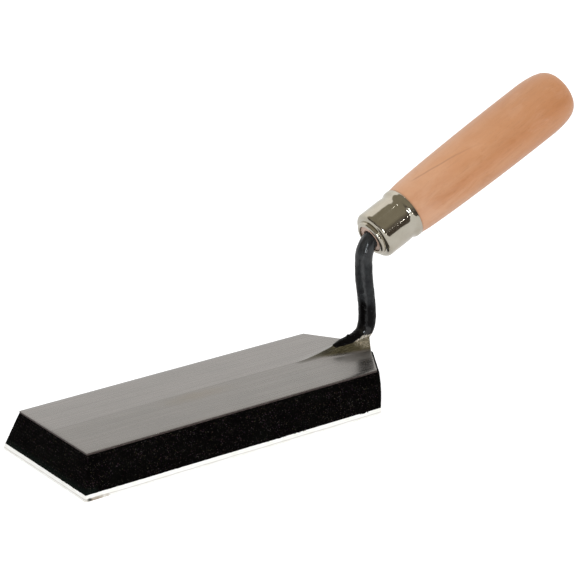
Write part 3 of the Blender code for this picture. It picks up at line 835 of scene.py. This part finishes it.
def shank_path():
    """Dense (station, height, radius) points of the shank's centre line, from toe to tang."""
    rise = Vector((math.cos(HANDLE_RISE), math.sin(HANDLE_RISE)))
    neck_x = FOOT_POINTS[-1][0]
    corner = Vector((MOUTH_STATION, MOUTH_HEIGHT)) - rise * ((MOUTH_STATION - neck_x) / rise.x)
    turn = math.radians(90) - HANDLE_RISE
    reach = NECK_BEND_RADIUS * math.tan(turn / 2)
    centre = Vector((neck_x + NECK_BEND_RADIUS, corner.y - reach))
    knots = list(FOOT_POINTS)
    for step in range(7):
        angle = turn * step / 6
        x = centre.x - NECK_BEND_RADIUS * math.cos(angle)
        knots.append((x, centre.y + NECK_BEND_RADIUS * math.sin(angle), SHANK_RADIUS))
    start = corner + rise * reach
    for share in (0.1, 0.3, 0.6, 1.0):
        spot = start + rise * (TANG_LENGTH * share)
        knots.append((spot.x, spot.y, SHANK_RADIUS + (TANG_TIP_RADIUS - SHANK_RADIUS) * share))
    knots = np.array(knots)
    gaps = np.linalg.norm(np.diff(knots[:, :2], axis=0), axis=1)
    times = np.concatenate([[0], np.cumsum(np.maximum(gaps, 1e-6) ** 0.5)])
    dense = []
    for i in range(len(knots) - 1):
        p0, p1, p2, p3 = (knots[max(i - 1, 0)], knots[i], knots[i + 1], knots[min(i + 2, len(knots) - 1)])
        t1, t2 = times[i], times[i + 1]
        t0 = times[i - 1] if i else t1 - (t2 - t1)
        t3 = times[i + 2] if i + 2 < len(times) else t2 + (t2 - t1)
        m1 = (p2 - p0) / (t2 - t0) * (t2 - t1)
        m2 = (p3 - p1) / (t3 - t1) * (t2 - t1)
        steps = max(4, int(gaps[i] / 0.45)) if i < 18 else 12
        for k in range(steps):
            t = k / steps
            h = (2 * t**3 - 3 * t**2 + 1, t**3 - 2 * t**2 + t, -2 * t**3 + 3 * t**2, t**3 - t**2)
            dense.append(h[0] * p1 + h[1] * m1 + h[2] * p2 + h[3] * m2)
    dense.append(knots[-1])
    return np.array(dense)


def shank_mesh():
    path = shank_path()
    sides = 44
    ends = 5
    tangents = np.gradient(path[:, :2], axis=0)
    tangents /= np.linalg.norm(tangents, axis=1)[:, None]
    rings = []
    for i in range(ends):
        angle = math.radians(90 * (i + 0.35) / (ends + 0.35))
        size = path[0][2] * math.sin(angle)
        back = path[0][2] * 0.55 * math.cos(angle)
        rings.append((path[0][:2] - tangents[0] * back, tangents[0], size))
    rings += [(p[:2], t, p[2]) for p, t in zip(path, tangents)]
    points = []
    for (x, z), (tx, tz), radius in rings:
        for side in range(sides):
            angle = 2 * math.pi * side / sides
            up, out = math.cos(angle), math.sin(angle)
            spot = Vector((x - tz * up * radius, out * radius, z + tx * up * radius))
            lump = 0.10 * noise.noise(spot * 0.45) + 0.05 * noise.noise(spot * 1.3)
            if z > MOUTH_HEIGHT + 2:
                lump = 0.0
            drip = 0.95 * math.exp(-((spot.x - 139.1) ** 2 + (spot.z - 5.7) ** 2 + spot.y**2) / 0.55)
            r = radius + 0.03 + lump * min(radius / 2, 1) + drip
            points.append((x - tz * up * r, out * r, z + tx * up * r))
    faces = grid_faces(len(rings), sides, wrap_columns=True)
    faces.append(tuple(reversed(range(sides))))
    faces.append(tuple(range((len(rings) - 1) * sides, len(rings) * sides)))
    return mesh_object("painted_shank", [place(*p) for p in points], faces, 60)


def braze_mesh(name, side):
    """Fillet of braze metal that runs from the ridge's flank up to the heel of the shank."""
    stations = np.linspace(BRAZE_START, BRAZE_END, 46)
    steps = 18
    points = []
    for station in stations:
        swell = math.sin(math.pi * (station - stations[0]) / (stations[-1] - stations[0])) ** 0.6
        centre, radius = foot_at(station)
        limit = HALF_WIDTH - max(station - SHOULDER, 0) * SHOULDER_SLOPE
        outer = min(radius + 0.4 + 2.6 * swell, max(limit - 0.25, radius * 0.6))
        upper = centre + radius * (0.15 + 0.35 * swell)
        for step in range(steps + 1):
            share = step / steps
            breadth = radius * 0.75 + (outer - radius * 0.75) * share
            flank = plate_surface(station, outer)
            curve = (1 - share) ** 2.0
            height = flank - 0.25 * share + (upper - flank) * curve
            spot = Vector((station, breadth * side, height))
            lump = 0.22 * noise.noise(spot * 0.9) + 0.10 * noise.noise(spot * 2.2)
            points.append((station, side * breadth, height + lump * swell * (1 - share**3)))
    columns = steps + 1
    top = len(points)
    faces = grid_faces(len(stations), columns, flip=side > 0)
    points += [(s, b, h - 1.2) for s, b, h in points]
    faces += grid_faces(len(stations), columns, start=top, flip=side < 0)
    loop = [i * columns for i in range(len(stations))]
    loop += [(len(stations) - 1) * columns + c for c in range(1, columns)]
    loop += [i * columns + columns - 1 for i in range(len(stations) - 2, -1, -1)]
    loop += list(range(columns - 2, 0, -1))
    for a, b in zip(loop, loop[1:] + loop[:1]):
        quad = (a, a + top, b + top, b)
        faces.append(quad[::-1] if side > 0 else quad)
    return mesh_object(name, [place(*p) for p in points], faces, 60)


# ---------------- handle and ferrule


def ferrule_profile():
    wall = FERRULE_WALL
    length = FERRULE_LENGTH
    lip_centre = (FERRULE_RADIUS - LIP_RADIUS, LIP_RADIUS)
    stops = [
        (length - 0.25, FERRULE_RIM_RADIUS), (length - 1.6, FERRULE_RIM_RADIUS - 0.03),
        (length - 2.2, FERRULE_RIM_RADIUS - 0.22), (length - 3.0, FERRULE_NECK_RADIUS + 0.22),
        (length - 3.9, FERRULE_NECK_RADIUS), (length - 4.8, FERRULE_NECK_RADIUS + 0.04),
        (length - 6.2, FERRULE_RADIUS - 0.03), (length - 8.5, FERRULE_RADIUS),
        (LIP_RADIUS + 1.2, FERRULE_RADIUS), (LIP_RADIUS, FERRULE_RADIUS),
    ]
    stops = np.array(stops[::-1])
    alongs = np.linspace(LIP_RADIUS, length - 0.25, 90)
    radii = np.interp(alongs, stops[:, 0], stops[:, 1])
    kernel = np.array([1, 2, 3, 2, 1]) / 9
    padded = np.concatenate([[radii[0]] * 2, radii, [radii[-1]] * 2])
    radii = np.convolve(padded, kernel, "valid")
    outer = list(zip(radii[::-1], alongs[::-1]))
    rim = [
        (FERRULE_RIM_RADIUS - wall, length), (FERRULE_RIM_RADIUS - 0.22, length),
        (FERRULE_RIM_RADIUS - 0.05, length - 0.08),
    ]
    lip = arc(lip_centre, LIP_RADIUS, 0, -90, 16)[1:]
    crease_shade = [(CREASE_RADIUS + 0.2, 0.0), (CREASE_RADIUS + 0.05, -0.01)]
    top = -MOUTH_RISE
    bead = []
    for step in range(17):
        angle = math.radians(90 * step / 16)
        radius = CREASE_RADIUS - MOUTH_RISE * (1 - math.cos(angle) ** 0.55)
        bead.append((radius, top * math.sin(angle) ** 0.8))
    mouth = crease_shade + bead + [
        (MOUTH_RADIUS + 0.06, top + 0.03), (MOUTH_RADIUS, top + 0.12), (MOUTH_RADIUS, top + wall),
        (CREASE_RADIUS - wall, wall / 2), (CREASE_RADIUS, wall),
    ]
    inner_lip = arc(lip_centre, LIP_RADIUS - wall, -90, 0, 8)
    inner = [
        (FERRULE_RADIUS - wall, length - 8.5), (FERRULE_NECK_RADIUS - wall, length - 3.9),
        (FERRULE_RIM_RADIUS - wall, length - 1.6),
    ]
    return rim + outer + lip + mouth + inner_lip + inner


def ferrule_mesh():
    def shape(radius, along, angle):
        if radius < FERRULE_RADIUS - 1.5 and along > 2:
            return 0.0
        around = Vector((math.cos(angle) * 2.2, math.sin(angle) * 2.2, along * 0.12))
        ripple = Vector((math.cos(angle) * 7, math.sin(angle) * 7, along * 0.5))
        return 0.035 * noise.noise(around) + 0.008 * noise.noise(ripple) - 0.02

    return turned("nickel_ferrule", ferrule_profile(), True, 160, shape, 45)


def handle_profile():
    profile = [(0, HANDLE_END)]
    for step in range(1, 41):
        angle = math.radians(90 * (step / 40) ** 1.5)
        along = DOME_START + (HANDLE_END - DOME_START) * math.cos(angle)
        profile.append((HANDLE_BELLY_RADIUS * math.sin(angle) ** (2 * DOME_BLUNTNESS), along))
    shoulder = FERRULE_LENGTH + 0.05
    for step in range(1, 90):
        along = DOME_START + (shoulder - DOME_START) * (step / 90) ** 1.15
        share = min(max((along - SWELL_START) / (HANDLE_BELLY - SWELL_START), 0), 1)
        swell = math.sin(math.radians(90) * share) ** SWELL_POWER
        profile.append((HANDLE_START_RADIUS + (HANDLE_BELLY_RADIUS - HANDLE_START_RADIUS) * swell, along))
    nose = FERRULE_NECK_RADIUS - FERRULE_WALL - 0.1
    profile += [
        (HANDLE_START_RADIUS - 0.12, shoulder), (nose, shoulder), (nose, 8), (nose, WOOD_SETBACK + 0.8),
        (nose - 0.25, WOOD_SETBACK + 0.25), (nose - 0.8, WOOD_SETBACK),
    ]
    hole = SHANK_RADIUS + 0.15
    top = -BOSS_REACH
    profile += [
        (BOSS_RADIUS, WOOD_SETBACK), (BOSS_RADIUS, top + 0.3), (BOSS_RADIUS - 0.1, top + 0.1),
        (BOSS_RADIUS - 0.3, top), (hole + 0.2, top), (hole, top + 0.3),
        (hole, WOOD_SETBACK + 6), (0, WOOD_SETBACK + 7),
    ]
    return profile


def handle_mesh():
    def shape(radius, along, angle):
        if along < FERRULE_LENGTH + 0.5 or radius < 2:
            return 0.0
        around = Vector((math.cos(angle) * 0.9, math.sin(angle) * 0.9, along * 0.02))
        turning = 0.012 * math.sin(along * 3.1 + 1.7 * math.sin(along * 0.7))
        return 0.06 * noise.noise(around) + turning - 0.05

    return turned("beech_handle", handle_profile(), False, 120, shape, 40)


def handle_matrix():
    turn = Matrix.Rotation(math.radians(90) - HANDLE_RISE, 4, "Y")
    return Matrix.Translation(place(MOUTH_STATION, 0, MOUTH_HEIGHT)) @ turn


# ---------------- studio


def studio():
    reach = FLOOR_REACH
    corners = ((-reach, -reach), (reach, -reach), (reach, reach), (-reach, reach))
    floor = mesh_object("studio_floor", [(x, y, FLOOR_HEIGHT) for x, y in corners], [(0, 1, 2, 3)])
    s = Shader("studio_floor")
    tone = s.noise((0.004, 0.004, 0.004), 2)
    base = s.colours(tone, [(0.3, (0.84, 0.84, 0.84)), (0.7, (0.86, 0.86, 0.86))])
    seen = s.node("LightPath").outputs["Is Camera Ray"]
    glow = s.plus(s.times(seen, 0.35), 0.15)
    s.surface(
        Base_Color=base, Roughness=0.9, Specular_IOR_Level=0.1,
        Emission_Color=(1, 1, 1), Emission_Strength=glow,
    )
    floor.data.materials.append(s.material)

    world = bpy.data.worlds.new("studio")
    bpy.context.scene.world = world
    world.use_nodes = True
    tree = world.node_tree
    tree.nodes.clear()
    new = tree.nodes.new

    def ramp_node(value, low, high):
        made = new("ShaderNodeMapRange")
        made.interpolation_type = "SMOOTHSTEP"
        tree.links.new(value, made.inputs["Value"])
        made.inputs["From Min"].default_value = low
        made.inputs["From Max"].default_value = high
        return made.outputs["Result"]

    def mix_node(factor, first, second):
        made = new("ShaderNodeMix")
        made.data_type = "RGBA"
        for index, value in ((0, factor), (6, first), (7, second)):
            if isinstance(value, bpy.types.NodeSocket):
                tree.links.new(value, made.inputs[index])
            else:
                made.inputs[index].default_value = value
        return made.outputs[2]

    direction = new("ShaderNodeTexCoord").outputs["Generated"]

    def along(vector):
        """How far the direction seen points along a vector."""
        made = new("ShaderNodeVectorMath")
        made.operation = "DOT_PRODUCT"
        tree.links.new(direction, made.inputs[0])
        made.inputs[1].default_value = vector
        return made.outputs["Value"]

    up = along((0, 0, 1))
    # A pale sweep stands behind the float, and a darker room lies in front of it.
    room_side = along(ROOM_DIRECTION)
    sweep = mix_node(ramp_node(up, 0.1, 0.8), (1.02, 1.02, 1.0, 1), (1.28, 1.25, 1.22, 1))
    clutter = new("ShaderNodeTexNoise")
    tree.links.new(direction, clutter.inputs["Vector"])
    clutter.inputs["Scale"].default_value = 5.0
    clutter.inputs["Detail"].default_value = 3.0
    mottle = ramp_node(clutter.outputs["Fac"], 0.50, 0.66)
    low_room = mix_node(mottle, (0.10, 0.085, 0.07, 1), (0.50, 0.47, 0.43, 1))
    room = mix_node(ramp_node(up, 0.35, 0.66), low_room, (0.335, 0.305, 0.235, 1))
    seen = mix_node(ramp_node(room_side, -0.05, 0.05), sweep, room)

    path = new("ShaderNodeLightPath")
    dome = mix_node(ramp_node(up, -0.2, 1.0), (0.80, 0.80, 0.80, 1), (0.92, 0.92, 0.92, 1))
    lit = mix_node(path.outputs["Is Glossy Ray"], dome, seen)
    lit = mix_node(path.outputs["Is Camera Ray"], lit, (1, 1, 1, 1))
    background = new("ShaderNodeBackground")
    tree.links.new(lit, background.inputs["Color"])
    tree.links.new(background.outputs[0], new("ShaderNodeOutputWorld").inputs["Surface"])

    def softbox(name, location, size, power, glossy=False):
        light = bpy.data.lights.new(name, "AREA")
        light.shape = "RECTANGLE"
        light.size, light.size_y = size
        light.energy = power
        obj = bpy.data.objects.new(name, light)
        bpy.context.scene.collection.objects.link(obj)
        obj.location = location
        aim = Vector(STUDIO_MIDDLE) - Vector(location)
        obj.rotation_euler = aim.to_track_quat("-Z", "Y").to_euler()
        obj.visible_glossy = glossy
        return obj

    for name, location, power in SOFTBOXES:
        softbox(name, location, (1.0, 1.0), power)

    def lamp(name, azimuth, elevation, size, radiance, colour):
        """Small lamp that shows as a highlight, at a direction in degrees from the float's middle."""
        a, e = math.radians(azimuth), math.radians(elevation)
        ray = Vector((math.cos(a) * math.cos(e), math.sin(a) * math.cos(e), math.sin(e)))
        power = radiance * math.pi * size[0] * size[1]
        location = tuple(Vector(STUDIO_MIDDLE) + ray * LAMP_DISTANCE)
        softbox(name, location, size, power, glossy=True).data.color = colour

    for settings in LAMPS:
        lamp(*settings)


def camera():
    azimuth, elevation, roll = (math.radians(a) for a in CAMERA_ANGLES)
    level = math.cos(elevation)
    back = Vector((math.sin(azimuth) * level, -math.cos(azimuth) * level, math.sin(elevation)))
    right = Vector((math.cos(azimuth), math.sin(azimuth), 0))
    up = back.cross(right)
    turned_right = math.cos(roll) * right + math.sin(roll) * up
    turned_up = back.cross(turned_right)
    data = bpy.data.cameras.new("camera")
    data.sensor_width = CAMERA_SENSOR
    data.lens = CAMERA_LENS
    data.clip_start, data.clip_end = 0.05, 30
    obj = bpy.data.objects.new("camera", data)
    bpy.context.scene.collection.objects.link(obj)
    matrix = Matrix((turned_right, turned_up, back)).transposed().to_4x4()
    matrix.translation = Vector(place(*CAMERA_TARGET)) + back * CAMERA_DISTANCE
    obj.matrix_world = matrix
    bpy.context.scene.camera = obj


# ---------------- assembly

camera()
studio()
bpy.context.scene.view_settings.view_transform = "Standard"

finish_piece(plate_mesh(), steel_material(), ["backing_plate"])
paint = paint_material()
finish_piece(shank_mesh(), paint, ["shank"])
braze = braze_material()
finish_piece(braze_mesh("braze_near", -1), braze, ["braze_fillet_near"])
finish_piece(braze_mesh("braze_far", 1), braze, ["braze_fillet_far"])

pad = finish_piece(foam_mesh(), sponge_material(), ["foam_pad"])
finish_piece(facing_mesh(), gum_material(), ["rubber_facing"])

cement = cement_material()
plate_film = cement_mesh("cement_under_plate", *PLATE_FILM, FILM_MARGIN)
finish_piece(plate_film, cement, ["plate_cement"])
film_low = (FACING_HIGH.z - EDGE_TOP) / MM + 0.335
film_high = (PAD_LOW.z - EDGE_TOP) / MM - 0.055
facing_film = cement_mesh("cement_over_facing", film_low, film_high, FILM_MARGIN)
finish_piece(facing_film, cement, ["facing_cement"])

for made, material, slot, node in (
    (ferrule_mesh(), nickel_material(), "nickel_plate", "ferrule"),
    (handle_mesh(), beech_material(), "varnished_beech", "handle"),
):
    made.data.transform(handle_matrix())
    finish_piece(made, material, [node])
